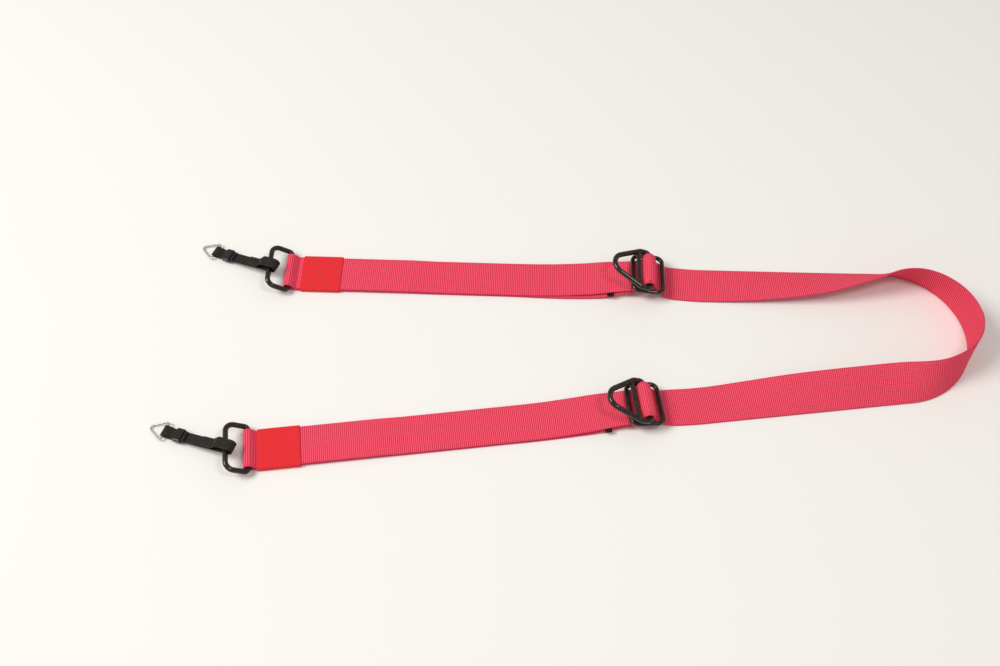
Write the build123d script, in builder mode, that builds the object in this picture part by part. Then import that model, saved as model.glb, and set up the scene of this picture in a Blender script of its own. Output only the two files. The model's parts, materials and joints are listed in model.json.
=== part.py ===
from build123d import *
import math
import os

os.makedirs("parts", exist_ok=True)

# Camera neck strap laid out on a table: a red webbing, two adjusters, two end rings, two camera connectors.
# Millimetres, +Z up, z = 0 is the table. +X points to the turn at the neck, +Y is the wearer's left strand.

# Webbing
web_width = 30.0
web_thick = 1.3
layer_gap = 0.1
layer_step = web_thick + layer_gap
pinched_width = 28.0        # width of the webbing where it is pulled through an adjuster
lower_z = web_thick / 2     # heights of the layers' middles, one on another
middle_z = lower_z + layer_step
upper_z = middle_z + layer_step

# Plan of the whole strap
turn_radius = 57.0          # outer edge of the strap round the neck turn
strand_angle = 4.35         # each strand leans this much off the X axis and nears the other toward the neck
origin_shift = (238.0, -4.3)  # centre of the turn, so that the whole strap is centred on the origin
strand_length = {"left": 454.0, "right": 474.7}     # fold at the end ring to the start of the turn
connector_yaw = {"left": -22.0, "right": -27.0}     # how far each connector swings sideways off its strand
keeper_start = {"left": 13.0, "right": 9.6}         # where each red sleeve sits, from the fold
base_bar_x = {"left": 277.0, "right": 283.7}        # where each adjuster sits: its lever's bar, from the fold
adjuster_offset = {"left": 2.0, "right": 1.5}       # how far each adjuster stands off its middle line
adjuster_lift = {"left": 6.5, "right": 4.0}         # how far the webbing lifts each adjuster off the table
# How far the band is rolled up on its outer edge, in degrees, by the distance from the middle of the turn
lean = {
    "left": ((0, 97), (20, 91), (35, 84), (52, 76), (68, 66), (83, 55), (98, 44), (129, 24), (160, 12),
             (190, 4), (215, 0)),
    "right": ((0, 97), (12, 96), (24, 91), (35, 83), (45, 75), (55, 68), (65, 58), (78, 44), (92, 34),
              (107, 30), (136, 26), (166, 18), (194, 8), (225, 0)),
}
neck_station_step = 9.0     # distance between the lofted sections of the neck webbing

# Adjuster, measured along the strand from its base bar: positive is toward the neck
body_split = -16.0          # where the loop webbing hands over to the webbing that moves with the adjuster
frame_left = -12.0
frame_length = 22.5
neck_start = 15.0
fold_back_end = -26.0
layers_level = -33.0        # from here to the adjuster both layers are lifted in full
layers_rise = -68.0         # and here they leave the table
neck_fall = 31.0            # length over which the neck webbing comes down to the table again
running_gap = 0.3
frame_wire_r = 1.65
frame_half_width = 16.3
frame_corner = 5.0
lever_wire_r = 2.0
base_bar_z = 8.7
anchor_mid_r = lever_wire_r + running_gap + web_thick / 2
roll_mid_r = anchor_mid_r + layer_step + 0.4
crossing_bend = 3.0
anchor_bend = 2.0
lever_half_width = 16.6
lever_shoulder = 7.0
lever_point = 39.0
lever_base_radius = 2.5
lever_shoulder_radius = 5.0
lever_point_radius = 9.0
lever_crossbar = 8.6
crossbar_r = 1.7
crossbar_reach = 16.0
lever_tilt = 22.0
tab_length = 5.0
tab_width = 5.4
tab_overhang = 1.7
tab_corner = 1.0

# End ring and its fold
ring_wire_r = 1.95
ring_length = 16.5
ring_half_width = 17.9
ring_tilt = 30.0
ring_corner_far = 6.0
ring_corner_near = 3.0
fold_mid_r = ring_wire_r + running_gap + web_thick / 2
fold_bend = 0.9
keeper_length = 30.0
keeper_thick = 0.7
keeper_lift = keeper_thick + layer_gap
keeper_side_gap = 0.3
keeper_corner = 1.1
keeper_clear = 4.0          # the layers stay level this far past the sleeve
keeper_settle = 18.0        # and are back on the table this far past it

# Camera connector
strip_width = 8.4
strip_thick = 0.9
strip_gap = 0.1
connector_length = 50.0
connector_drop = 9.5
eye_slack = 3.4
eye_clearance = 0.7         # the strip crosses the ring bar askew, so its eye is roomy
eye_mid_r = ring_wire_r + eye_clearance + strip_thick / 2
eye_open = 2.5              # past the slack, the upper layer comes down on the lower one from here
eye_close = 8.5             # to here
eye_bend = 1.5
lug_wire_r = 0.8
lug_eye_mid_r = lug_wire_r + running_gap + strip_thick / 2
lug_eye_open = 1.5
lug_eye_close = 5.5
lug_eye_bend = 1.0
return_end_ring = 20.0
return_end_lug = 33.0
keeper_slide_start = 36.0
keeper_slide_length = 5.5
keeper_slide_wall = 0.8
keeper_slide_gap = 0.2
keeper_slide_corner = 1.0
stitch_width = 0.6
stitch_height = 0.25
stitch_length = 6.0
stitch_inset = 1.5
stitch_middle = return_end_ring - 4.0
lug_ring_half_base = 8.0
lug_ring_height = 14.0
lug_ring_droop = 7.5
lug_ring_base_radius = 1.2
lug_ring_point_radius = 2.2


def strand_frame(side):
    """Plane of a strand: x runs to the neck, y to the wearer's left, its origin under the fold."""
    sign = 1 if side == "left" else -1
    angle = math.radians(strand_angle)
    outward = Vector(math.sin(angle), sign * math.cos(angle), 0)
    along = Vector(math.cos(angle), -sign * math.sin(angle), 0)
    centre = Vector(*origin_shift, 0) + outward * (turn_radius - web_width / 2)
    return Plane(origin=centre - along * strand_length[side], x_dir=along, z_dir=(0, 0, 1))


def side_plane(base):
    """Plane standing along a base plane's x axis: sketch x is along, sketch y is up."""
    return Plane(origin=base.origin, x_dir=base.x_dir, z_dir=-base.y_dir)


def lean_at(distance, table):
    """Lean of the band at a distance from the middle of the turn, read off its table by straight lines."""
    for (d0, a0), (d1, a1) in zip(table, table[1:]):
        if distance <= d1:
            return a0 + (a1 - a0) * (distance - d0) / (d1 - d0)
    return 0.0


def neck_section(travel):
    """Section plane of the neck webbing at a travel from the middle of the turn, negative on the left."""
    side = "left" if travel < 0 else "right"
    bend = max(-half_arc, min(half_arc, travel))
    angle = bend / turn_radius
    outward = Vector(math.cos(angle), -math.sin(angle), 0)
    along = Vector(-math.sin(angle), -math.cos(angle), 0)
    tilt = math.radians(lean_at(abs(travel), lean[side]))
    up = Vector(0, 0, 1)
    across = outward * -math.cos(tilt) + up * math.sin(tilt)
    face = outward * math.sin(tilt) + up * math.cos(tilt)
    rise = min(1.0, (neck_reach[side] - abs(travel)) / neck_fall)
    lift = adjuster_lift[side] * (1 - rise * rise * (3 - 2 * rise)) + max(0.0, -web_thick * math.cos(tilt))
    edge = Vector(*origin_shift, 0) + outward * turn_radius + along * (travel - bend) + up * lift
    return Plane(origin=edge + across * (web_width / 2) + face * (web_thick / 2), x_dir=across, z_dir=along)


# Neck webbing: one band from adjuster to adjuster, rolled up on its outer edge round the turn
sides = ("left", "right")
half_arc = turn_radius * math.radians(90 - strand_angle)
neck_reach = {side: half_arc + strand_length[side] - base_bar_x[side] - neck_start for side in sides}
neck_length = neck_reach["left"] + neck_reach["right"]
station_count = round(neck_length / neck_station_step)
with BuildPart() as neck_webbing:
    for i in range(station_count + 1):
        with BuildSketch(neck_section(neck_length * i / station_count - neck_reach["left"])):
            Rectangle(web_width, web_thick)
    loft(ruled=True)
neck_webbing.part.label = "neck_webbing"
export_step(neck_webbing.part, "parts/neck_webbing.step")

for side in sides:
    strand = strand_frame(side)
    bar_x = base_bar_x[side]
    lift = adjuster_lift[side]
    split_x = bar_x + body_split
    keeper_end = keeper_start[side] + keeper_length
    layer_low = lower_z + keeper_lift
    layer_high = middle_z + keeper_lift
    fold_z = layer_low + fold_mid_r
    fold_x = fold_mid_r + web_thick / 2
    fold_touch = fold_mid_r * math.sin(math.radians(45))
    fold_top = (fold_x + fold_touch, fold_z + fold_touch)

    # Two layers of webbing from the adjuster to the end ring and back, folded round the ring
    with BuildPart() as loop_webbing:
        with BuildSketch(side_plane(strand)):
            with BuildLine():
                Polyline(
                    (split_x, lower_z + lift),
                    (bar_x + layers_level, lower_z + lift),
                    (bar_x + layers_rise, lower_z),
                    (keeper_end + keeper_settle, lower_z),
                    (keeper_end + keeper_clear, layer_low),
                    (fold_x, layer_low),
                )
                CenterArc((fold_x, fold_z), fold_mid_r, 270, -225)
                FilletPolyline(
                    fold_top,
                    (fold_top[0] + fold_top[1] - layer_high, layer_high),
                    (keeper_end + keeper_clear, layer_high),
                    radius=fold_bend,
                )
                Polyline(
                    (keeper_end + keeper_clear, layer_high),
                    (keeper_end + keeper_settle, middle_z),
                    (bar_x + layers_rise, middle_z),
                    (bar_x + layers_level, upper_z + lift),
                    (split_x, upper_z + lift),
                )
            trace(line_width=web_thick)
        extrude(amount=web_width / 2, both=True)
    loop_webbing.part.label = f"loop_webbing_{side}"
    export_step(loop_webbing.part, f"parts/loop_webbing_{side}.step")

    # Wire ring in the fold: a straight bar in the webbing, wide corners at the connector end
    ring_bar = strand.from_local_coords((fold_x, 0, fold_z))
    tilt = math.radians(ring_tilt)
    to_connector = strand.x_dir * -math.cos(tilt) + Vector(0, 0, math.sin(tilt))
    ring_plane = Plane(origin=ring_bar, x_dir=to_connector, z_dir=to_connector.cross(strand.y_dir) * -1)
    with BuildPart() as end_ring:
        with BuildLine(ring_plane) as ring_line:
            FilletPolyline(
                (0, ring_half_width),
                (ring_length, ring_half_width),
                (ring_length, -ring_half_width),
                (0, -ring_half_width),
                radius=(ring_corner_near, ring_corner_far, ring_corner_far, ring_corner_near),
                close=True,
            )
        with BuildSketch(Plane(origin=ring_line.line @ 0, z_dir=ring_line.line % 0)):
            Circle(ring_wire_r)
        sweep()
    end_ring.part.label = f"end_ring_{side}"
    export_step(end_ring.part, f"parts/end_ring_{side}.step")

    # Red twill sleeve that holds the two layers together next to the ring
    keeper_inner = 2 * web_thick + 3 * layer_gap
    keeper_half = web_width / 2 + keeper_side_gap + keeper_thick
    mouth = Plane(origin=strand.from_local_coords((keeper_start[side], 0, keeper_thick + keeper_inner / 2)),
                  x_dir=strand.y_dir, z_dir=strand.x_dir)
    with BuildPart() as keeper_sleeve:
        with BuildSketch(mouth):
            RectangleRounded(2 * keeper_half, keeper_inner + 2 * keeper_thick, keeper_corner)
            Rectangle(web_width + 2 * keeper_side_gap, keeper_inner, mode=Mode.SUBTRACT)
        extrude(amount=keeper_length)
    keeper_sleeve.part.label = f"keeper_sleeve_{side}"
    export_step(keeper_sleeve.part, f"parts/keeper_sleeve_{side}.step")

    # The adjuster stands off its strand's line and above the table; its x runs from the base bar to the neck
    held = Plane(origin=strand.from_local_coords((bar_x, adjuster_offset[side], lift)),
                 x_dir=strand.x_dir, z_dir=(0, 0, 1))

    # Adjuster frame: a rectangular wire loop lying over the webbing, its ring side higher
    frame_left_z = upper_z + web_thick / 2 + running_gap + frame_wire_r
    frame_right_z = web_thick + running_gap + frame_wire_r
    frame_slope = math.atan2(frame_left_z - frame_right_z, frame_length)
    frame_x_dir = strand.x_dir * math.cos(frame_slope) - Vector(0, 0, math.sin(frame_slope))
    frame_plane = Plane(origin=held.from_local_coords((frame_left, 0, frame_left_z)),
                        x_dir=frame_x_dir, z_dir=frame_x_dir.cross(strand.y_dir))
    frame_run = frame_length / math.cos(frame_slope)
    with BuildPart() as adjuster_frame:
        with BuildLine(frame_plane) as frame_line:
            FilletPolyline(
                (0, frame_half_width),
                (frame_run, frame_half_width),
                (frame_run, -frame_half_width),
                (0, -frame_half_width),
                radius=frame_corner,
                close=True,
            )
        with BuildSketch(Plane(origin=frame_line.line @ 0, z_dir=frame_line.line % 0)):
            Circle(frame_wire_r)
        sweep()
    adjuster_frame.part.label = f"adjuster_frame_{side}"
    export_step(adjuster_frame.part, f"parts/adjuster_frame_{side}.step")

    # Webbing crossing the adjuster: up under the frame, over the base bar, down to the neck
    with BuildPart() as adjuster_crossing:
        with BuildSketch(side_plane(held)):
            with BuildLine():
                FilletPolyline(
                    (body_split, upper_z),
                    (-roll_mid_r, upper_z),
                    (-roll_mid_r, base_bar_z),
                    radius=crossing_bend,
                )
                CenterArc((0, base_bar_z), roll_mid_r, 180, -180)
                FilletPolyline(
                    (roll_mid_r, base_bar_z),
                    (roll_mid_r, lower_z),
                    (neck_start, lower_z),
                    radius=crossing_bend,
                )
            trace(line_width=web_thick)
        extrude(amount=pinched_width / 2, both=True)
    adjuster_crossing.part.label = f"adjuster_crossing_{side}"
    export_step(adjuster_crossing.part, f"parts/adjuster_crossing_{side}.step")

    # Sewn end of the webbing, looped round the base bar and folded back under the top layer
    with BuildPart() as anchor_loop:
        with BuildSketch(side_plane(held)):
            with BuildLine():
                FilletPolyline(
                    (body_split, lower_z),
                    (anchor_mid_r, lower_z),
                    (anchor_mid_r, base_bar_z),
                    radius=anchor_bend,
                )
                CenterArc((0, base_bar_z), anchor_mid_r, 0, 180)
                FilletPolyline(
                    (-anchor_mid_r, base_bar_z),
                    (-anchor_mid_r, middle_z),
                    (fold_back_end, middle_z),
                    radius=anchor_bend,
                )
            trace(line_width=web_thick)
        extrude(amount=pinched_width / 2, both=True)
    anchor_loop.part.label = f"anchor_loop_{side}"
    export_step(anchor_loop.part, f"parts/anchor_loop_{side}.step")

    # Small black tab sewn to the end of the fold-back, standing out past the near edge of the strap
    tab_y = -web_width / 2 - tab_overhang + tab_width / 2
    tab_middle = held.from_local_coords((fold_back_end - layer_gap - tab_length / 2, tab_y, middle_z))
    with BuildPart(Plane(origin=tab_middle, x_dir=strand.x_dir, z_dir=(0, 0, 1))) as edge_tab:
        Box(tab_length, tab_width, web_thick)
        fillet(edge_tab.edges().filter_by(Axis.Z), tab_corner)
    edge_tab.part.label = f"edge_tab_{side}"
    export_step(edge_tab.part, f"parts/edge_tab_{side}.step")

    # Release lever: a wire triangle hinged on its base bar inside the webbing, with a bar across it
    lever_rise = math.radians(lever_tilt)
    to_point = strand.x_dir * -math.cos(lever_rise) + Vector(0, 0, math.sin(lever_rise))
    lever_plane = Plane(origin=held.from_local_coords((0, 0, base_bar_z)),
                        x_dir=to_point, z_dir=to_point.cross(strand.y_dir))
    with BuildPart() as lever:
        with BuildLine(lever_plane) as lever_line:
            FilletPolyline(
                (0, lever_half_width),
                (lever_shoulder, lever_half_width),
                (lever_point, 0),
                (lever_shoulder, -lever_half_width),
                (0, -lever_half_width),
                radius=(lever_base_radius, lever_shoulder_radius, lever_point_radius, lever_shoulder_radius,
                        lever_base_radius),
                close=True,
            )
        with BuildSketch(Plane(origin=lever_line.line @ 0, z_dir=lever_line.line % 0)):
            Circle(lever_wire_r)
        sweep()
        crossbar_start = lever_plane.from_local_coords((lever_crossbar, -crossbar_reach, 0))
        with BuildSketch(Plane(origin=crossbar_start, z_dir=strand.y_dir)):
            Circle(crossbar_r)
        extrude(amount=2 * crossbar_reach)
    lever.part.label = f"lever_{side}"
    export_step(lever.part, f"parts/lever_{side}.step")

    # Camera connector: a narrow black strip, an eye round the end ring and an eye round the lug ring
    ring_far_bar = ring_bar + to_connector * ring_length
    drop = math.radians(connector_drop)
    level = (strand.x_dir * -1).rotate(Axis.Z, connector_yaw[side])
    outward = level * math.cos(drop) - Vector(0, 0, math.sin(drop))
    strip_plane = Plane(origin=ring_far_bar, x_dir=outward, z_dir=outward.cross(Vector(0, 0, 1)))
    strip_low = -eye_mid_r
    strip_high = strip_low + strip_thick + strip_gap
    lug_bar_y = strip_low + lug_eye_mid_r
    with BuildPart() as connector_strip:
        with BuildSketch(strip_plane):
            with BuildLine():
                FilletPolyline(
                    (return_end_ring, strip_high),
                    (eye_slack + eye_close, strip_high),
                    (eye_slack + eye_open, eye_mid_r),
                    (-eye_slack, eye_mid_r),
                    radius=eye_bend,
                )
                CenterArc((-eye_slack, 0), eye_mid_r, 90, 180)
                Line((-eye_slack, strip_low), (connector_length, strip_low))
                CenterArc((connector_length, lug_bar_y), lug_eye_mid_r, 270, 180)
                FilletPolyline(
                    (connector_length, lug_bar_y + lug_eye_mid_r),
                    (connector_length - lug_eye_open, lug_bar_y + lug_eye_mid_r),
                    (connector_length - lug_eye_close, strip_high),
                    (return_end_lug, strip_high),
                    radius=lug_eye_bend,
                )
            trace(line_width=strip_thick)
        extrude(amount=strip_width / 2, both=True)
    connector_strip.part.label = f"connector_strip_{side}"
    export_step(connector_strip.part, f"parts/connector_strip_{side}.step")

    # Box stitch on the returned end of the strip
    stitch_top = strip_high + strip_thick / 2
    stitch_plane = Plane(origin=strip_plane.from_local_coords((stitch_middle, stitch_top, 0)),
                         x_dir=outward, z_dir=strip_plane.y_dir)
    stitch_across = strip_width - 2 * stitch_inset
    with BuildPart() as connector_stitching:
        with BuildSketch(stitch_plane):
            Rectangle(stitch_length, stitch_across)
            Rectangle(stitch_length - 2 * stitch_width, stitch_across - 2 * stitch_width, mode=Mode.SUBTRACT)
        extrude(amount=stitch_height)
    connector_stitching.part.label = f"connector_stitching_{side}"
    export_step(connector_stitching.part, f"parts/connector_stitching_{side}.step")

    # Glossy keeper that slides along the strip near the camera
    slide_middle = (strip_low + strip_high) / 2
    slide_plane = Plane(origin=strip_plane.from_local_coords((keeper_slide_start, slide_middle, 0)),
                        x_dir=strip_plane.y_dir, z_dir=outward)
    slide_high = 2 * strip_thick + strip_gap + 2 * keeper_slide_gap
    slide_wide = strip_width + 2 * keeper_slide_gap
    with BuildPart() as connector_keeper:
        with BuildSketch(slide_plane):
            RectangleRounded(slide_high + 2 * keeper_slide_wall, slide_wide + 2 * keeper_slide_wall,
                             keeper_slide_corner)
            Rectangle(slide_high, slide_wide, mode=Mode.SUBTRACT)
        extrude(amount=keeper_slide_length)
    connector_keeper.part.label = f"connector_keeper_{side}"
    export_step(connector_keeper.part, f"parts/connector_keeper_{side}.step")

    # Triangular wire ring that clips to the camera's lug
    lug_bar = strip_plane.from_local_coords((connector_length, lug_bar_y, 0))
    droop = math.radians(lug_ring_droop)
    to_camera = level * math.cos(droop) - Vector(0, 0, math.sin(droop))
    sideways = Vector(0, 0, 1).cross(level)
    lug_plane = Plane(origin=lug_bar, x_dir=to_camera, z_dir=to_camera.cross(sideways))
    with BuildPart() as lug_ring:
        with BuildLine(lug_plane) as lug_line:
            FilletPolyline(
                (0, lug_ring_half_base),
                (lug_ring_height, 0),
                (0, -lug_ring_half_base),
                radius=(lug_ring_base_radius, lug_ring_point_radius, lug_ring_base_radius),
                close=True,
            )
        with BuildSketch(Plane(origin=lug_line.line @ 0, z_dir=lug_line.line % 0)):
            Circle(lug_wire_r)
        sweep()
    lug_ring.part.label = f"lug_ring_{side}"
    export_step(lug_ring.part, f"parts/lug_ring_{side}.step")
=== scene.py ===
import json
import math
from collections import namedtuple

import bmesh
import bpy
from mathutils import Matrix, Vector


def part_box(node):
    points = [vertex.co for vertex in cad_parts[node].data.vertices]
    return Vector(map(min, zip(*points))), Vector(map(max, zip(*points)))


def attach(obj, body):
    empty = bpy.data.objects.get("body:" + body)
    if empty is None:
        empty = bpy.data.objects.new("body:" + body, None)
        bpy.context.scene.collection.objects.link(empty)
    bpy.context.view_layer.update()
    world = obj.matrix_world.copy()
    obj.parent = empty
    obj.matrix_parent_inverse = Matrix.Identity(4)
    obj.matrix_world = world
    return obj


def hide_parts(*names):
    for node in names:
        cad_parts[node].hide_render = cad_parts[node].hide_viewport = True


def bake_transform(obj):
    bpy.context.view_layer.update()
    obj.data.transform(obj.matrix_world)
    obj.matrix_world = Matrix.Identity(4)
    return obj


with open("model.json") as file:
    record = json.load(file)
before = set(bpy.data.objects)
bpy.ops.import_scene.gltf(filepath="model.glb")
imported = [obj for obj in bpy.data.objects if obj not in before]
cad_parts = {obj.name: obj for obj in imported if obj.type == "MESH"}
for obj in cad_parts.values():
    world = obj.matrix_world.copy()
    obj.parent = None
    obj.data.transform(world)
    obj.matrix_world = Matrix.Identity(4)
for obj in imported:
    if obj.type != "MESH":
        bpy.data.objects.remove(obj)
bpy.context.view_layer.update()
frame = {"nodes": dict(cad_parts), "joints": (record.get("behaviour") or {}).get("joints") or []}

# Camera neck strap: red webbing with black wire fittings, laid out on a pale table.
# Sizes are millimetres, and each Place turns them into world points in metres.
MM = 0.001
SIDES = ("left", "right")
joints = {joint["name"]: joint for joint in frame["joints"]}

# Webbing
WEB_WIDTH = 30.0
WEB_THICK = 1.3
LAYER_STEP = 1.4
PINCHED_WIDTH = 28.0
LOWER_Z = WEB_THICK / 2
MIDDLE_Z = LOWER_Z + LAYER_STEP
UPPER_Z = MIDDLE_Z + LAYER_STEP

# Along a strand, from the fold at the end ring toward the neck
BASE_BAR_X = {"left": 277.0, "right": 283.7}
ADJUSTER_OFFSET = {"left": 2.0, "right": 1.5}   # how far each adjuster stands off its strand's middle line
LAYER_DRIFT = {"left": 2.0, "right": 0.5}       # how far the loop's two layers part sideways before it
LOOP_FREE_START = 5.0       # the loop's free length runs from here to its adjuster
NECK_FREE_END = 430.0       # and the neck webbing's from the adjuster to here
KEEPER_START = {"left": 13.0, "right": 9.6}
KEEPER_LENGTH = 30.0
KEEPER_TRAVEL = 50.0        # the layers stay clear of the table as far as the sleeve slides
KEEPER_THICK = 0.7
KEEPER_LIFT = 0.8
KEEPER_HEIGHT = 4.3
KEEPER_HALF_WIDTH = 16.0
KEEPER_CORNER_R = 1.0
FOLD_MID_R = 2.9
SHOULDER_R = 0.9            # the upper layer's bend as it comes down from the fold
SETTLES = (4.0, 22.0)       # past the sleeve's travel, the layers come down to the table between these
SETTLE_BEND_R = 60.0

# Adjuster, along the strand from its base bar, and heights over the underside of its webbing
FRAME_LEFT = -12.0
FRAME_RIGHT = 10.5
FOLD_BACK_END = -26.0
LAYERS_PART = (-68.0, -33.0)    # the top layer climbs over the sewn end's tail between these
PART_BEND_R = 70.0
LIFT_START = -50.0          # the webbing leaves the table here
LIFT_FULL = -5.0            # and is lifted in full from here
LIFT_FALLS = (5.0, 17.0)    # and comes down to the table again between these
LIFT_POWER = 1.5            # the climb starts shallow and gets steeper
PINCH_IN = (-42.0, -16.0)   # the webbing draws in to its pinched width between these
PINCH_OUT = (6.5, 20.5)     # and widens again between these
DRIFT_GROWS = (-110.0, -48.0)       # the loop's layers part sideways between these
DRIFT_ENDS = (-30.0, FRAME_LEFT)    # and come together again between these
UPPER_DRIFT = 0.2           # the upper layer's share of the drift
LOWER_DRIFT = -0.8          # and the lower layer's
JOINS_OFFSET = (-90.0, -20.0)       # the loop turns to the adjuster's own line between these
LEAVES_OFFSET = (5.0, 40.0)         # and the neck webbing turns back from it between these
BASE_BAR_Z = 8.7
ROLL_MID_R = 4.75
ROLL_BEND_R = 3.0
ROLL_CAMBER = 1.4           # how far the roll's edges turn down on the bar
CAMBER_POWER = 6            # high, so that only the edges turn down
ANCHOR_MID_R = 2.95
ANCHOR_BEND_R = 2.0
ANCHOR_WIDTH = 24.0
TAB_LENGTH = 4.8
TAB_OUTER = -16.7
TAB_INNER = -11.3
TAB_MID_R = 0.42
TAB_THICK = 0.5

# The turn at the neck
TURN_RADIUS = 57.0
STRAND_ANGLE = math.radians(4.35)
STRAND_LENGTH = {"left": 454.0, "right": 474.7}
EXACT_FACE_X = 60.0         # past here the band's face comes from its lean, and before it from its path
LEAN_SAMPLES = range(-8, 9, 2)      # the lean is averaged over these distances
# How far the band is rolled up on its outer edge, in degrees, by the distance from the middle of the turn
LEAN = {
    "left": ((0, 97), (20, 91), (35, 84), (52, 76), (68, 66), (83, 55), (98, 44), (129, 24), (160, 12),
             (190, 4), (215, 0)),
    "right": ((0, 97), (12, 96), (24, 91), (35, 83), (45, 75), (55, 68), (65, 58), (78, 44), (92, 34),
              (107, 30), (136, 26), (166, 18), (194, 8), (225, 0)),
}

# Camera connector
STRIP_WIDTH = 8.4
STRIP_THICK = 0.9
STRIP_LENGTH = 50.0
EYE_SLACK = 3.4
EYE_MID_R = 3.1
LUG_EYE_MID_R = 1.55
STRIP_LOW = -EYE_MID_R
STRIP_LAYER_STEP = 1.0
STRIP_HIGH = STRIP_LOW + STRIP_LAYER_STEP
RING_RETURN_END = 20.0      # the strip's end that comes back from the ring's eye stops here
LUG_RETURN_END = 33.0       # and the one from the lug's eye here
EYE_SLOPE = (2.5, 8.5)      # past the slack, the ring's eye closes between these
EYE_BEND_R = 1.5
LUG_EYE_SLOPE = (1.5, 5.5)  # before the strip's far end, the lug's eye closes between these
LUG_EYE_BEND_R = 1.0
STITCH_MIDDLE = 16.0
STITCHED_LENGTH = 6.0
STITCHED_WIDTH = 5.4
STITCH_PITCH = 1.3
STITCH_SHARES = (0.1, 0.25, 0.5, 0.75, 0.9)     # where a stitch's points lie in its pitch
STITCH_SINK = 0.1           # how deep a stitch's thread sits in the strip
THREAD_R = 0.24
LUG_DROOP = math.radians(7.5)
LUG_HALF_BASE = 8.0
LUG_HEIGHT = 14.0
LUG_BASE_BEND_R = 1.2
LUG_TIP_BEND_R = 2.2
LUG_WIRE_R = 0.42

ARC_STEP = math.radians(10)     # between the sections round a bend
RUN_STEP = 2.5                  # between the sections on a straight run

# The picture, in metres, degrees and watts
TABLE_HALF = 4.0
WARM_WHITE = (1.0, 0.985, 0.965)
WINDOW_WHITE = (1.0, 0.98, 0.95)
WORLD_STRENGTH = 0.44
LENS = 44.14
SENSOR_WIDTH = 36.0
CAMERA_AT = (-0.0705, -0.4981, 0.756)
CAMERA_PITCH = 34.0
CAMERA_YAW = -2.35

Station = namedtuple("Station", "centre across width camber face", defaults=(0.0, None))
UP = Vector((0, 0, 1))


# ---------------------------------------------------------------- places

class Place:
    """Axes at an origin: sizes go in as millimetres, world points come out in metres."""

    def __init__(self, origin, x, y, z):
        self.origin, self.x, self.y, self.z = Vector(origin), Vector(x), Vector(y), Vector(z)

    def at(self, x, y=0.0, z=0.0):
        return self.origin + (self.x * x + self.y * y + self.z * z) * MM

    def local(self, point):
        away = (Vector(point) - self.origin) / MM
        return Vector((away.dot(self.x), away.dot(self.y), away.dot(self.z)))


def adjuster_place(side):
    """x runs from the lever's base bar to the neck, y to the wearer's left, z up from under the webbing."""
    along = Vector(joints[f"adjuster_slide_{side}"]["axis"])
    bar = Vector(joints[f"lever_tilt_{side}"]["pos_m"])
    return Place(bar - UP * BASE_BAR_Z * MM, along, UP.cross(along), UP)


def strand_place(side):
    """x runs from the fold to the neck, y to the wearer's left, z up from the table, under the fold."""
    held = adjuster_place(side)
    origin = held.at(-BASE_BAR_X[side], -ADJUSTER_OFFSET[side])
    origin.z = 0
    return Place(origin, held.x, held.y, held.z)


def connector_place(side):
    """x runs from the ring's far bar along the connector, y across it, z off its upper face."""
    outward = Vector(joints[f"connector_slider_{side}"]["axis"])
    across = Vector(joints[f"lug_ring_swing_{side}"]["axis"])
    return Place(joints[f"connector_swing_{side}"]["pos_m"], outward, across, across.cross(outward))


ADJUSTERS = {side: adjuster_place(side) for side in SIDES}
STRANDS = {side: strand_place(side) for side in SIDES}
LIFT = {side: ADJUSTERS[side].origin.z / MM for side in SIDES}
CONNECTORS = {side: connector_place(side) for side in SIDES}


# ---------------------------------------------------------------- paths and meshes

def lift_share(x):
    """How much of the adjuster's lift the webbing has at x from the base bar."""
    if x > 0:
        return 1 - smoothstep(*LIFT_FALLS, x)
    share = (x - LIFT_START) / (LIFT_FULL - LIFT_START)
    return max(0.0, min(1.0, share)) ** LIFT_POWER


def rounded(corners):
    """Points along straight runs joined by arcs. A corner is (x, z) or (x, z, radius)."""
    points = [Vector(corners[0][:2])]
    for before, corner, after in zip(corners, corners[1:], corners[2:]):
        middle, radius = Vector(corner[:2]), corner[2]
        back = (Vector(before[:2]) - middle).normalized()
        ahead = (Vector(after[:2]) - middle).normalized()
        half = back.angle(ahead) / 2
        centre = middle + (back + ahead).normalized() * (radius / math.sin(half))
        start = middle + back * (radius / math.tan(half))
        spoke = start - centre
        turn = math.pi - 2 * half
        sign = 1 if back.x * ahead.y - back.y * ahead.x < 0 else -1
        steps = max(2, math.ceil(turn / ARC_STEP))
        run_to(points, start)
        for i in range(1, steps + 1):
            angle = sign * turn * i / steps
            cos, sin = math.cos(angle), math.sin(angle)
            points.append(centre + Vector((spoke.x * cos - spoke.y * sin, spoke.x * sin + spoke.y * cos)))
    run_to(points, Vector(corners[-1][:2]))
    return points


def run_to(points, end):
    """Carries a path straight on to end, in steps of at most RUN_STEP."""
    start = points[-1].copy()
    length = (end - start).length
    if length < 1e-6:
        return
    steps = math.ceil(length / RUN_STEP)
    points.extend(start.lerp(end, i / steps) for i in range(1, steps + 1))


def distances(centres):
    """How far along a path each of its points is, in millimetres."""
    total = [0.0]
    for before, after in zip(centres, centres[1:]):
        total.append(total[-1] + (after - before).length / MM)
    return total


def smoothstep(low, high, value):
    t = max(0.0, min(1.0, (value - low) / (high - low)))
    return t * t * (3 - 2 * t)


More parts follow.
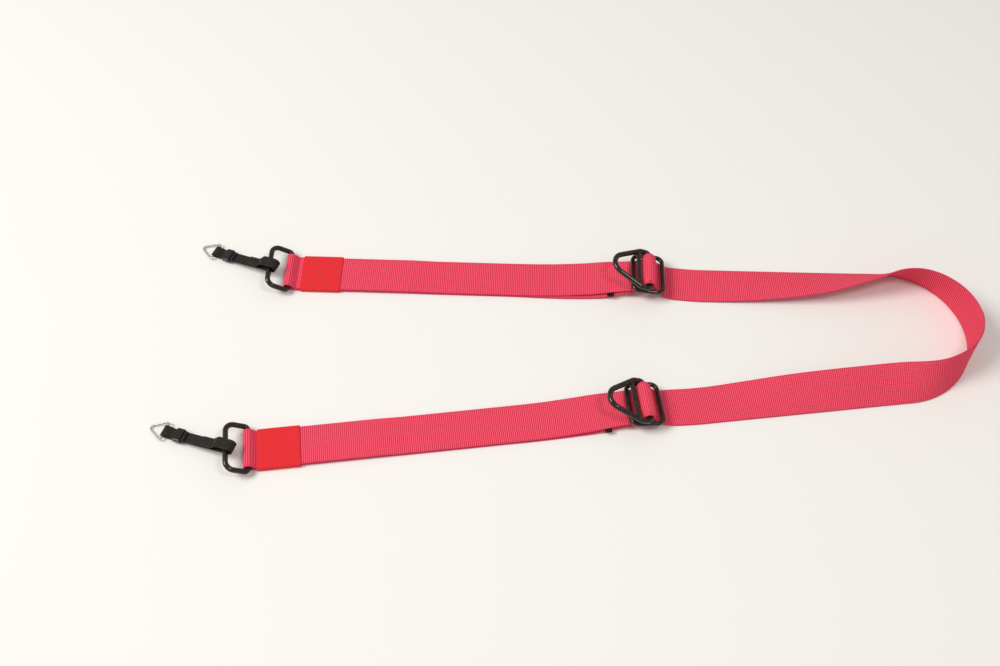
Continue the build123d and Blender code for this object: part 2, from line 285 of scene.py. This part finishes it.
def section(width, thick, camber, rows, edge_steps=4):
    """Outline of a band across its width, as (v, n) pairs from the top face round to the bottom face."""
    half, r = width / 2, thick / 2
    flat = half - r
    tops = [-flat + 2 * flat * i / rows for i in range(rows + 1)]
    ends = [math.pi / 2 - math.pi * i / edge_steps for i in range(1, edge_steps)]
    outline = [(v, r) for v in tops]
    outline += [(flat + r * math.cos(a), r * math.sin(a)) for a in ends]
    outline += [(v, -r) for v in reversed(tops)]
    outline += [(-flat - r * math.cos(a), -r * math.sin(a)) for a in ends]
    return [(v, n - camber * (v / half) ** CAMBER_POWER) for v, n in outline]


def band(name, stations, thick, material, rows=12, along=None, closed=False, caps=(True, True)):
    """A flat band through the stations, its across direction and width given at each of them."""
    centres = [station.centre for station in stations]
    along = along or distances(centres)
    rings, marks = [], []
    for i, station in enumerate(stations):
        ahead = centres[(i + 1) % len(centres)] if closed or i + 1 < len(centres) else centres[i]
        behind = centres[i - 1] if closed or i > 0 else centres[i]
        face = station.face or (ahead - behind).cross(station.across).normalized()
        outline = section(station.width, thick, station.camber, rows)
        rings.append([station.centre + (station.across * v + face * n) * MM for v, n in outline])
        marks.append([(along[i], v, n) for v, n in outline])
    return piece_from(name, [(rings, marks)], material, closed, caps)


def wires(name, paths, radius, material, closed=False, sides=8):
    """Round wire or thread along each path, as one piece. A path is points and a direction square to them."""
    lofts = []
    for centres, square in paths:
        along = distances(centres)
        rings, marks = [], []
        for i, centre in enumerate(centres):
            ahead = centres[(i + 1) % len(centres)] if closed or i + 1 < len(centres) else centre
            behind = centres[i - 1] if closed or i > 0 else centre
            outward = (ahead - behind).cross(square).normalized()
            angles = [2 * math.pi * k / sides for k in range(sides)]
            spokes = [outward * math.cos(a) + square * math.sin(a) for a in angles]
            rings.append([centre + spoke * radius * MM for spoke in spokes])
            marks.append([(along[i], radius * math.sin(a), radius * math.cos(a)) for a in angles])
        lofts.append((rings, marks))
    return piece_from(name, lofts, material, closed)


def piece_from(name, lofts, material, closed=False, caps=(True, True)):
    """A mesh from lofts. A loft is rings of points, and marks that say where on the cloth each point lies."""
    points, faces, smooth, places = [], [], [], []
    for rings, marks in lofts:
        size, first = len(rings[0]), len(points)
        points += [point for ring in rings for point in ring]
        places += [number for ring in marks for mark in ring for number in mark]
        for i in range(len(rings) if closed else len(rings) - 1):
            here, there = first + i * size, first + (i + 1) % len(rings) * size
            for k in range(size):
                m = (k + 1) % size
                faces.append((here + k, here + m, there + m, there + k))
                smooth.append(True)
        ends = [tuple(reversed(range(first, first + size))), tuple(range(len(points) - size, len(points)))]
        for end, wanted in zip(ends, caps):
            if wanted and not closed:
                faces.append(end)
                smooth.append(False)
    mesh = bpy.data.meshes.new(name)
    mesh.from_pydata(points, [], faces)
    mesh.polygons.foreach_set("use_smooth", smooth)
    mesh.attributes.new("cloth", "FLOAT_VECTOR", "POINT").data.foreach_set("vector", places)
    mesh.materials.append(material)
    piece = bpy.data.objects.new(name, mesh)
    bpy.context.scene.collection.objects.link(piece)
    fix_normals(mesh)
    return piece


def fix_normals(mesh):
    """Turns every face outward."""
    work = bmesh.new()
    work.from_mesh(mesh)
    bmesh.ops.recalc_face_normals(work, faces=work.faces)
    work.to_mesh(mesh)
    work.free()


# ---------------------------------------------------------------- materials

def calc(tree, operation, *values):
    """A math node's result. A value is a number or another node's output."""
    node = tree.nodes.new("ShaderNodeMath")
    node.operation = operation
    for socket, value in zip(node.inputs, values):
        put(tree, socket, value)
    return node.outputs[0]


def put(tree, socket, value):
    if isinstance(value, bpy.types.NodeSocket):
        tree.links.new(value, socket)
    else:
        socket.default_value = value


def mix(tree, share, first, second):
    """Blends two colours by a share."""
    node = tree.nodes.new("ShaderNodeMix")
    node.data_type = "RGBA"
    put(tree, node.inputs["Factor"], share)
    put(tree, node.inputs["A"], first)
    put(tree, node.inputs["B"], second)
    return node.outputs["Result"]


def noise(tree, vector, scale, detail=2.0):
    node = tree.nodes.new("ShaderNodeTexNoise")
    node.inputs["Scale"].default_value = scale
    node.inputs["Detail"].default_value = detail
    tree.links.new(vector, node.inputs["Vector"])
    return node.outputs["Fac"]


def spread(tree, value, low, high):
    """Stretches a value so that low becomes 0 and high becomes 1, held between them."""
    node = tree.nodes.new("ShaderNodeMapRange")
    node.interpolation_type = "SMOOTHSTEP"
    put(tree, node.inputs["Value"], value)
    node.inputs["From Min"].default_value = low
    node.inputs["From Max"].default_value = high
    return node.outputs["Result"]


def ridges(tree, value, pitch):
    """Rounded ridges, from 0 in the gaps to 1 on the crests, one for each pitch of value."""
    wave = calc(tree, "COSINE", calc(tree, "MULTIPLY", value, 2 * math.pi / pitch))
    return calc(tree, "MULTIPLY_ADD", wave, 0.5, 0.5)


def new_material(name, **settings):
    material = bpy.data.materials.new(name)
    material.use_nodes = True
    shader = material.node_tree.nodes["Principled BSDF"]
    for socket, value in settings.items():
        shader.inputs[socket.replace("_", " ")].default_value = value
    return material, material.node_tree, shader


def cloth_place(tree):
    """Where a point lies on the cloth, in millimetres: the vector, along it and across it."""
    node = tree.nodes.new("ShaderNodeAttribute")
    node.attribute_name = "cloth"
    parts = tree.nodes.new("ShaderNodeSeparateXYZ")
    tree.links.new(node.outputs["Vector"], parts.inputs[0])
    return node.outputs["Vector"], parts.outputs["X"], parts.outputs["Y"]


def bump(tree, shader, height, distance):
    node = tree.nodes.new("ShaderNodeBump")
    node.inputs["Distance"].default_value = distance * MM
    tree.links.new(height, node.inputs["Height"])
    tree.links.new(node.outputs["Normal"], shader.inputs["Normal"])


def webbing_material():
    """Red webbing: ribs across the band, crossed by rows along it, with darker selvedges."""
    material, tree, shader = new_material(
        "red_webbing", Roughness=0.9, Sheen_Weight=0.02, Sheen_Roughness=0.5, Specular_IOR_Level=0.1)
    where, along, across = cloth_place(tree)
    wobble = calc(tree, "MULTIPLY_ADD", noise(tree, where, 0.35), 0.3, along)
    rib_pitch, row_pitch, half_width = 1.4, 1.6, WEB_WIDTH / 2
    gap, yarn = (0.44, 0.008, 0.026, 1), (1.0, 0.106, 0.180, 1)
    selvedge, worn = (0.50, 0.022, 0.11, 1), (0.88, 0.055, 0.10, 1)
    rib = ridges(tree, wobble, rib_pitch)
    row = ridges(tree, calc(tree, "MULTIPLY_ADD", noise(tree, where, 0.12), 0.5, across), row_pitch)
    height = calc(tree, "MULTIPLY", rib, calc(tree, "MULTIPLY_ADD", row, 0.8, 0.2))
    woven = mix(tree, spread(tree, height, -0.04, 0.30), gap, yarn)
    edge = spread(tree, calc(tree, "ABSOLUTE", across), half_width - 1.0, half_width - 0.1)
    edged = mix(tree, calc(tree, "MULTIPLY", edge, 0.5), woven, selvedge)
    patches = spread(tree, noise(tree, where, 0.03, 3.0), 0.3, 0.75)
    colour = mix(tree, calc(tree, "MULTIPLY", patches, 0.12), edged, worn)
    tree.links.new(colour, shader.inputs["Base Color"])
    bump(tree, shader, height, 0.28)
    return material


def twill_material():
    """Bright red cotton twill: diagonal ridges of fine thread."""
    material, tree, shader = new_material(
        "red_twill", Roughness=0.85, Sheen_Weight=0.04, Sheen_Roughness=0.5, Specular_IOR_Level=0.2)
    where, along, across = cloth_place(tree)
    ridge_pitch, thread_pitch = 1.8, 0.45
    gap, crest = (0.48, 0.003, 0.008, 1), (1.0, 0.040, 0.050, 1)
    diagonal = calc(tree, "SUBTRACT", along, across)
    ridge = ridges(tree, calc(tree, "MULTIPLY_ADD", noise(tree, where, 0.5), 0.3, diagonal), ridge_pitch)
    thread = ridges(tree, across, thread_pitch)
    height = calc(tree, "MULTIPLY", ridge, calc(tree, "MULTIPLY_ADD", thread, 0.3, 0.7))
    tree.links.new(mix(tree, spread(tree, height, 0.0, 0.30), gap, crest), shader.inputs["Base Color"])
    bump(tree, shader, height, 0.34)
    return material


def black_metal_material():
    """Black enamelled wire, worn a little brown, with a soft gloss."""
    material, tree, shader = new_material(
        "black_wire", Specular_IOR_Level=0.12, Coat_Weight=0.8, Coat_Roughness=0.09)
    place = tree.nodes.new("ShaderNodeTexCoord").outputs["Object"]
    wear = spread(tree, noise(tree, place, 260.0, 4.0), 0.45, 0.75)
    enamel, brown = (0.012, 0.007, 0.005, 1), (0.030, 0.018, 0.012, 1)
    tree.links.new(mix(tree, wear, enamel, brown), shader.inputs["Base Color"])
    put(tree, shader.inputs["Roughness"], calc(tree, "MULTIPLY_ADD", wear, 0.2, 0.2))
    bump(tree, shader, noise(tree, place, 1800.0, 3.0), 0.03)
    return material


def connector_material():
    """Matte black strip with a fine woven grain."""
    material, tree, shader = new_material("black_strip", Roughness=0.65, Specular_IOR_Level=0.22)
    where, along, across = cloth_place(tree)
    along_pitch, across_pitch = 0.7, 0.6
    gap, yarn, rubbed = (0.010, 0.007, 0.005, 1), (0.027, 0.019, 0.014, 1), (0.042, 0.036, 0.031, 1)
    grain = calc(tree, "MULTIPLY", ridges(tree, along, along_pitch), ridges(tree, across, across_pitch))
    worn = spread(tree, noise(tree, where, 0.4, 4.0), 0.35, 0.8)
    colour = mix(tree, calc(tree, "MULTIPLY", worn, 0.5), mix(tree, grain, gap, yarn), rubbed)
    tree.links.new(colour, shader.inputs["Base Color"])
    bump(tree, shader, grain, 0.07)
    return material


def thread_material():
    """Black waxed thread with its twist."""
    material, tree, shader = new_material("black_thread", Roughness=0.5, Specular_IOR_Level=0.5)
    _, along, across = cloth_place(tree)
    twist_pitch = 0.35
    groove, strand = (0.012, 0.011, 0.011, 1), (0.06, 0.055, 0.05, 1)
    twist = ridges(tree, calc(tree, "ADD", along, across), twist_pitch)
    tree.links.new(mix(tree, twist, groove, strand), shader.inputs["Base Color"])
    bump(tree, shader, twist, 0.05)
    return material


def plastic_material():
    """Glossy black moulded plastic with faint scuffs."""
    material, tree, shader = new_material("black_plastic", Specular_IOR_Level=0.6)
    place = tree.nodes.new("ShaderNodeTexCoord").outputs["Object"]
    scuff = spread(tree, noise(tree, place, 420.0, 5.0), 0.5, 0.8)
    gloss, scuffed = (0.008, 0.008, 0.009, 1), (0.03, 0.03, 0.03, 1)
    tree.links.new(mix(tree, scuff, gloss, scuffed), shader.inputs["Base Color"])
    put(tree, shader.inputs["Roughness"], calc(tree, "MULTIPLY_ADD", scuff, 0.25, 0.12))
    bump(tree, shader, noise(tree, place, 1500.0, 2.0), 0.01)
    return material


def steel_material():
    """Bright drawn steel wire."""
    material, tree, shader = new_material("steel_wire", Metallic=1.0)
    where, _, _ = cloth_place(tree)
    dull, bright = (0.52, 0.52, 0.54, 1), (0.74, 0.73, 0.72, 1)
    drawn = noise(tree, where, 2.5, 3.0)
    tree.links.new(mix(tree, drawn, dull, bright), shader.inputs["Base Color"])
    put(tree, shader.inputs["Roughness"], calc(tree, "MULTIPLY_ADD", drawn, 0.25, 0.15))
    bump(tree, shader, drawn, 0.02)
    return material


def tab_material():
    """Black ribbon."""
    material, tree, shader = new_material("black_ribbon", Roughness=0.6, Specular_IOR_Level=0.2)
    _, along, across = cloth_place(tree)
    along_pitch, across_pitch = 0.5, 0.7
    gap, crest = (0.003, 0.003, 0.004, 1), (0.014, 0.013, 0.015, 1)
    ribs = calc(tree, "MULTIPLY", ridges(tree, along, along_pitch), ridges(tree, across, across_pitch))
    tree.links.new(mix(tree, ribs, gap, crest), shader.inputs["Base Color"])
    bump(tree, shader, ribs, 0.08)
    return material


def table_material():
    """Pale warm table top."""
    material, tree, shader = new_material("pale_table", Roughness=0.75, Specular_IOR_Level=0.2)
    place = tree.nodes.new("ShaderNodeTexCoord").outputs["Object"]
    dull, pale = (0.86, 0.84, 0.81, 1), (0.88, 0.865, 0.835, 1)
    tree.links.new(mix(tree, noise(tree, place, 3.0, 3.0), dull, pale), shader.inputs["Base Color"])
    return material


WEBBING = webbing_material()
TWILL = twill_material()
BLACK_METAL = black_metal_material()
STRIP = connector_material()
THREAD = thread_material()
PLASTIC = plastic_material()
STEEL = steel_material()
TAB = tab_material()


# ---------------------------------------------------------------- neck webbing

def lean_at(distance, side):
    """How far the band leans at a distance from the middle of the turn, in degrees."""
    table = LEAN[side]
    samples = [abs(distance + step) for step in LEAN_SAMPLES]
    total = 0.0
    for sample in samples:
        for (d0, a0), (d1, a1) in zip(table, table[1:]):
            if sample <= d1:
                total += a0 + (a1 - a0) * (sample - d0) / (d1 - d0)
                break
    return total / len(samples)


def turn_centre():
    """Centre of the turn, from where the left strand's straight run ends."""
    strand = STRANDS["left"]
    return strand.at(STRAND_LENGTH["left"], WEB_WIDTH / 2 - TURN_RADIUS)


def neck_reach(side, local_x):
    """Distance along the webbing from the middle of the turn back to a point of the strand."""
    return TURN_RADIUS * (math.pi / 2 - STRAND_ANGLE) + STRAND_LENGTH[side] - local_x


def neck_station(travel):
    """The band at a travel from the middle of the turn, negative on the left: a bend, then straight."""
    side = "left" if travel < 0 else "right"
    limit = TURN_RADIUS * (math.pi / 2 - STRAND_ANGLE)
    bend = max(-limit, min(limit, travel))
    angle = bend / TURN_RADIUS
    outward = Vector((math.cos(angle), -math.sin(angle), 0))
    along = Vector((-math.sin(angle), -math.cos(angle), 0))
    lean = math.radians(lean_at(abs(travel), side))
    across = UP * math.sin(lean) - outward * math.cos(lean)
    face = outward * math.sin(lean) + UP * math.cos(lean)
    local_x = neck_reach(side, BASE_BAR_X[side]) - abs(travel)
    overhang = max(0.0, -WEB_THICK * math.cos(lean))
    lift = LIFT[side] * lift_share(local_x) + overhang
    offset = ADJUSTER_OFFSET[side] * (1 - smoothstep(*LEAVES_OFFSET, local_x))
    edge = outward * TURN_RADIUS + along * (travel - bend) + UP * lift + STRANDS[side].y * offset
    middle = edge + across * (WEB_WIDTH / 2) + face * (WEB_THICK / 2)
    width = PINCHED_WIDTH + (WEB_WIDTH - PINCHED_WIDTH) * smoothstep(*PINCH_OUT, local_x)
    known_face = face if local_x > EXACT_FACE_X else None
    return Station(turn_centre() + middle * MM, across * -1, width, 0.0, known_face)


def neck_webbing():
    """The neck band in three lengths: the middle goes with the strap, and each end is baked where it lies."""
    ends = {side: neck_reach(side, BASE_BAR_X[side] + FRAME_RIGHT) for side in SIDES}
    cuts = {side: neck_reach(side, NECK_FREE_END) for side in SIDES}
    spans = {
        "neck_band_left": (-ends["left"], -cuts["left"], (True, False)),
        "neck_band_middle": (-cuts["left"], cuts["right"], (False, False)),
        "neck_band_right": (cuts["right"], ends["right"], (False, True)),
    }
    for name, (first, last, caps) in spans.items():
        steps = math.ceil((last - first) / RUN_STEP)
        travels = [first + (last - first) * i / steps for i in range(steps + 1)]
        stations = [neck_station(travel) for travel in travels]
        piece = band(name, stations, WEB_THICK, WEBBING, along=travels, caps=caps)
        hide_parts("neck_webbing")
        side = name.removeprefix("neck_band_")
        if side in SIDES:
            STRANDS[side].at(BASE_BAR_X[side] + LIFT_FALLS[1])
            STRANDS[side].at(NECK_FREE_END)
            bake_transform(piece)
        else:
            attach(piece, "strap")


# ---------------------------------------------------------------- strands

def strand_band(name, place, path, width_at, lift_at, offset_at=None, camber_at=None):
    """A band whose path is drawn in the upright plane of a strand. Returns the piece and its cut length."""
    stations = []
    for i, point in enumerate(path):
        offset = offset_at(point.x, i / (len(path) - 1)) if offset_at else 0.0
        camber = camber_at(point) if camber_at else 0.0
        centre = place.at(point.x, offset, point.y + lift_at(point.x))
        stations.append(Station(centre, place.y, width_at(point.x), camber))
    length = distances([station.centre for station in stations])[-1]
    return band(name, stations, WEB_THICK, WEBBING), length


def loop_webbing(side):
    """Both layers from the adjuster to the end ring and back, as one band folded round the ring."""
    strand = STRANDS[side]
    fold = strand.local(joints[f"ring_swing_{side}"]["pos_m"])
    bar_x = BASE_BAR_X[side]
    raised_end = KEEPER_START[side] + KEEPER_LENGTH + KEEPER_TRAVEL
    low, high = LOWER_Z + KEEPER_LIFT, MIDDLE_Z + KEEPER_LIFT
    fold_top = fold.z + FOLD_MID_R
    shoulder = fold.x + FOLD_MID_R * math.tan(math.pi / 8)
    path = rounded([
        (bar_x + FRAME_LEFT, LOWER_Z),
        (raised_end + SETTLES[1], LOWER_Z, SETTLE_BEND_R),
        (raised_end + SETTLES[0], low, SETTLE_BEND_R),
        (fold.x - FOLD_MID_R, low, FOLD_MID_R),
        (fold.x - FOLD_MID_R, fold_top, FOLD_MID_R),
        (shoulder, fold_top, FOLD_MID_R),
        (shoulder + fold_top - high, high, SHOULDER_R),
        (raised_end + SETTLES[0], high, SETTLE_BEND_R),
        (raised_end + SETTLES[1], MIDDLE_Z, SETTLE_BEND_R),
        (bar_x + LAYERS_PART[0], MIDDLE_Z, PART_BEND_R),
        (bar_x + LAYERS_PART[1], UPPER_Z, PART_BEND_R),
        (bar_x + FRAME_LEFT, UPPER_Z),
    ])

    def width_at(x):
        return WEB_WIDTH + (PINCHED_WIDTH - WEB_WIDTH) * smoothstep(*PINCH_IN, x - bar_x)

    def offset_at(x, share):
        """The layers drift apart a little before the adjuster, and both turn to it."""
        upper = share > 0.5
        drift = LAYER_DRIFT[side] * (UPPER_DRIFT if upper else LOWER_DRIFT)
        shown = smoothstep(*DRIFT_GROWS, x - bar_x) * (1 - smoothstep(*DRIFT_ENDS, x - bar_x))
        return drift * shown + ADJUSTER_OFFSET[side] * smoothstep(*JOINS_OFFSET, x - bar_x)

    piece, length = strand_band(f"folded_loop_{side}", strand, path, width_at,
                                lambda x: LIFT[side] * lift_share(x - bar_x), offset_at)
    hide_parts(f"loop_webbing_{side}")
    strand.at(LOOP_FREE_START)
    strand.at(bar_x + FOLD_BACK_END)
    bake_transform(piece)


def crossing(side):
    """The webbing rolled over the lever's base bar, its two edges pulled in and turned down."""
    path = rounded([
        (FRAME_LEFT, UPPER_Z),
        (-ROLL_MID_R, UPPER_Z, ROLL_BEND_R),
        (-ROLL_MID_R, BASE_BAR_Z + ROLL_MID_R, ROLL_MID_R),
        (ROLL_MID_R, BASE_BAR_Z + ROLL_MID_R, ROLL_MID_R),
        (ROLL_MID_R, LOWER_Z, ROLL_BEND_R),
        (FRAME_RIGHT, LOWER_Z),
    ])

    def camber_at(point):
        return ROLL_CAMBER * smoothstep(UPPER_Z, BASE_BAR_Z, point.y)

    piece, length = strand_band(f"rolled_webbing_{side}", ADJUSTERS[side], path, lambda x: PINCHED_WIDTH,
                                lambda x: LIFT[side] * (lift_share(x) - 1), camber_at=camber_at)
    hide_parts(f"adjuster_crossing_{side}")
    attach(piece, f"adjuster_{side}")


def anchor(side):
    """The sewn end of the webbing, looped round the base bar and folded back under the top layer."""
    path = rounded([
        (FRAME_LEFT, LOWER_Z),
        (ANCHOR_MID_R, LOWER_Z, ANCHOR_BEND_R),
        (ANCHOR_MID_R, BASE_BAR_Z + ANCHOR_MID_R, ANCHOR_MID_R),
        (-ANCHOR_MID_R, BASE_BAR_Z + ANCHOR_MID_R, ANCHOR_MID_R),
        (-ANCHOR_MID_R, MIDDLE_Z, ANCHOR_BEND_R),
        (FOLD_BACK_END, MIDDLE_Z),
    ])
    piece, length = strand_band(f"sewn_end_{side}", ADJUSTERS[side], path, lambda x: ANCHOR_WIDTH,
                                lambda x: LIFT[side] * (lift_share(x) - 1))
    edge_tab(side)
    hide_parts(f"anchor_loop_{side}")
    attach(piece, f"adjuster_{side}")


def edge_tab(side):
    """A scrap of black ribbon folded round the near edge of the fold-back."""
    place = ADJUSTERS[side]
    low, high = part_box(f"edge_tab_{side}")
    middle = place.local((low + high) / 2)
    z = middle.z + LIFT[side] * (lift_share(middle.x) - 1)
    path = rounded([
        (TAB_INNER, z + TAB_MID_R),
        (TAB_OUTER, z + TAB_MID_R, TAB_MID_R),
        (TAB_OUTER, z - TAB_MID_R, TAB_MID_R),
        (TAB_INNER, z - TAB_MID_R),
    ])
    stations = [Station(place.at(middle.x, point.x, point.y), place.x, TAB_LENGTH) for point in path]
    piece = band(f"ribbon_tab_{side}", stations, TAB_THICK, TAB, rows=6)
    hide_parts(f"edge_tab_{side}")
    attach(piece, f"adjuster_{side}")
    return piece


def keeper(side):
    """The twill sleeve round both layers, a band that closes on itself."""
    strand = STRANDS[side]
    half_wide, half_high = KEEPER_HALF_WIDTH - KEEPER_THICK / 2, (KEEPER_HEIGHT - KEEPER_THICK) / 2
    centre_z = KEEPER_HEIGHT / 2
    path = rounded([
        (0.0, centre_z - half_high),
        (half_wide, centre_z - half_high, KEEPER_CORNER_R),
        (half_wide, centre_z + half_high, KEEPER_CORNER_R),
        (-half_wide, centre_z + half_high, KEEPER_CORNER_R),
        (-half_wide, centre_z - half_high, KEEPER_CORNER_R),
        (0.0, centre_z - half_high),
    ])[:-1]
    middle_x = KEEPER_START[side] + KEEPER_LENGTH / 2
    stations = [Station(strand.at(middle_x, point.x, point.y), strand.x, KEEPER_LENGTH) for point in path]
    length = distances([station.centre for station in stations + stations[:1]])[-1]
    piece = band(f"twill_sleeve_{side}", stations, KEEPER_THICK, TWILL, rows=20, closed=True)
    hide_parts(f"keeper_sleeve_{side}")
    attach(piece, f"keeper_{side}")


# ---------------------------------------------------------------- connector

def connector_strip(side):
    """The narrow black strip with an eye at each end."""
    place = CONNECTORS[side]
    lug = place.local(joints[f"lug_ring_swing_{side}"]["pos_m"])
    path = rounded([
        (RING_RETURN_END, STRIP_HIGH),
        (EYE_SLACK + EYE_SLOPE[1], STRIP_HIGH, EYE_BEND_R),
        (EYE_SLACK + EYE_SLOPE[0], EYE_MID_R, EYE_BEND_R),
        (-EYE_SLACK - EYE_MID_R, EYE_MID_R, EYE_MID_R),
        (-EYE_SLACK - EYE_MID_R, STRIP_LOW, EYE_MID_R),
        (STRIP_LENGTH + LUG_EYE_MID_R, STRIP_LOW, LUG_EYE_MID_R),
        (STRIP_LENGTH + LUG_EYE_MID_R, lug.z + LUG_EYE_MID_R, LUG_EYE_MID_R),
        (STRIP_LENGTH - LUG_EYE_SLOPE[0], lug.z + LUG_EYE_MID_R, LUG_EYE_BEND_R),
        (STRIP_LENGTH - LUG_EYE_SLOPE[1], STRIP_HIGH, LUG_EYE_BEND_R),
        (LUG_RETURN_END, STRIP_HIGH),
    ])
    stations = [Station(place.at(point.x, 0.0, point.y), place.y, STRIP_WIDTH) for point in path]
    piece = band(f"black_strip_{side}", stations, STRIP_THICK, STRIP, rows=8)
    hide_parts(f"connector_strip_{side}")
    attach(piece, f"connector_{side}")


def stitching(side):
    """A box of single stitches that holds the strip's returned end."""
    place = CONNECTORS[side]
    top = STRIP_HIGH + STRIP_THICK / 2
    half_x, half_y = STITCHED_LENGTH / 2, STITCHED_WIDTH / 2
    corners = [(half_x, half_y), (-half_x, half_y), (-half_x, -half_y), (half_x, -half_y)]
    paths = []
    for start, end in zip(corners, corners[1:] + corners[:1]):
        start, end = Vector(start), Vector(end)
        count = round((end - start).length / STITCH_PITCH)
        for i in range(count):
            stitch = []
            for share in STITCH_SHARES:
                spot = start.lerp(end, (i + share) / count)
                rise = THREAD_R * math.sin(math.pi * share) - STITCH_SINK
                stitch.append(place.at(STITCH_MIDDLE + spot.x, spot.y, top + rise))
            paths.append((stitch, (stitch[-1] - stitch[0]).cross(place.z).normalized()))
    piece = wires(f"stitches_{side}", paths, THREAD_R, THREAD, sides=6)
    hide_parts(f"connector_stitching_{side}")
    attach(piece, f"connector_{side}")


def lug_ring(side):
    """A split ring of two turns of wire, bent to a triangle."""
    joint = joints[f"lug_ring_swing_{side}"]
    across = CONNECTORS[side].y
    level = across.cross(UP)
    if level.dot(CONNECTORS[side].x) < 0:
        level = level * -1
    outward = level * math.cos(LUG_DROOP) - UP * math.sin(LUG_DROOP)
    place = Place(joint["pos_m"], outward, across, outward.cross(across))
    outline = rounded([
        (0.0, 0.0),
        (0.0, LUG_HALF_BASE, LUG_BASE_BEND_R),
        (LUG_HEIGHT, 0.0, LUG_TIP_BEND_R),
        (0.0, -LUG_HALF_BASE, LUG_BASE_BEND_R),
        (0.0, 0.0),
    ])[:-1]
    turns = [([place.at(point.x, point.y, height) for point in outline], place.z)
             for height in (-LUG_WIRE_R, LUG_WIRE_R)]
    piece = wires(f"split_ring_{side}", turns, LUG_WIRE_R, STEEL, closed=True)
    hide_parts(f"lug_ring_{side}")
    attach(piece, f"lug_ring_{side}")


# ---------------------------------------------------------------- the scene

def refinish(node, material):
    """Keeps a CAD node's shape and gives it its real finish."""
    piece = frame["nodes"][node]
    piece.data.materials.clear()
    piece.data.materials.append(material)


def table():
    mesh = bpy.data.meshes.new("table")
    half = TABLE_HALF
    corners = [(-half, -half, 0), (half, -half, 0), (half, half, 0), (-half, half, 0)]
    mesh.from_pydata(corners, [], [(0, 1, 2, 3)])
    mesh.materials.append(table_material())
    piece = bpy.data.objects.new("table", mesh)
    bpy.context.scene.collection.objects.link(piece)


def area_light(name, location, size, power, colour):
    """A round soft light aimed at the middle of the table."""
    light = bpy.data.lights.new(name, "AREA")
    light.shape = "DISK"
    light.size = size
    light.energy = power
    light.color = colour
    lamp = bpy.data.objects.new(name, light)
    lamp.location = location
    lamp.rotation_euler = (-Vector(location)).to_track_quat("-Z", "Y").to_euler()
    bpy.context.scene.collection.objects.link(lamp)


def lighting():
    world = bpy.data.worlds.new("studio")
    world.use_nodes = True
    background = world.node_tree.nodes["Background"]
    background.inputs["Color"].default_value = (*WARM_WHITE, 1)
    background.inputs["Strength"].default_value = WORLD_STRENGTH
    bpy.context.scene.world = world
    area_light("key", (-1.65, -0.05, 1.95), size=1.2, power=42.0, colour=WARM_WHITE)
    area_light("window", (0.53, -0.43, 1.5), size=0.3, power=4.6, colour=WINDOW_WHITE)


def camera():
    data = bpy.data.cameras.new("camera")
    data.lens = LENS
    data.sensor_width = SENSOR_WIDTH
    view = bpy.data.objects.new("camera", data)
    view.location = CAMERA_AT
    view.rotation_euler = (math.radians(CAMERA_PITCH), 0, math.radians(CAMERA_YAW))
    bpy.context.scene.collection.objects.link(view)
    bpy.context.scene.camera = view
    bpy.context.scene.view_settings.view_transform = "Standard"


table()
lighting()
camera()
neck_webbing()
for side in SIDES:
    loop_webbing(side)
    crossing(side)
    anchor(side)
    keeper(side)
    connector_strip(side)
    stitching(side)
    lug_ring(side)
    refinish(f"end_ring_{side}", BLACK_METAL)
    refinish(f"adjuster_frame_{side}", BLACK_METAL)
    refinish(f"lever_{side}", BLACK_METAL)
    refinish(f"connector_keeper_{side}", PLASTIC)
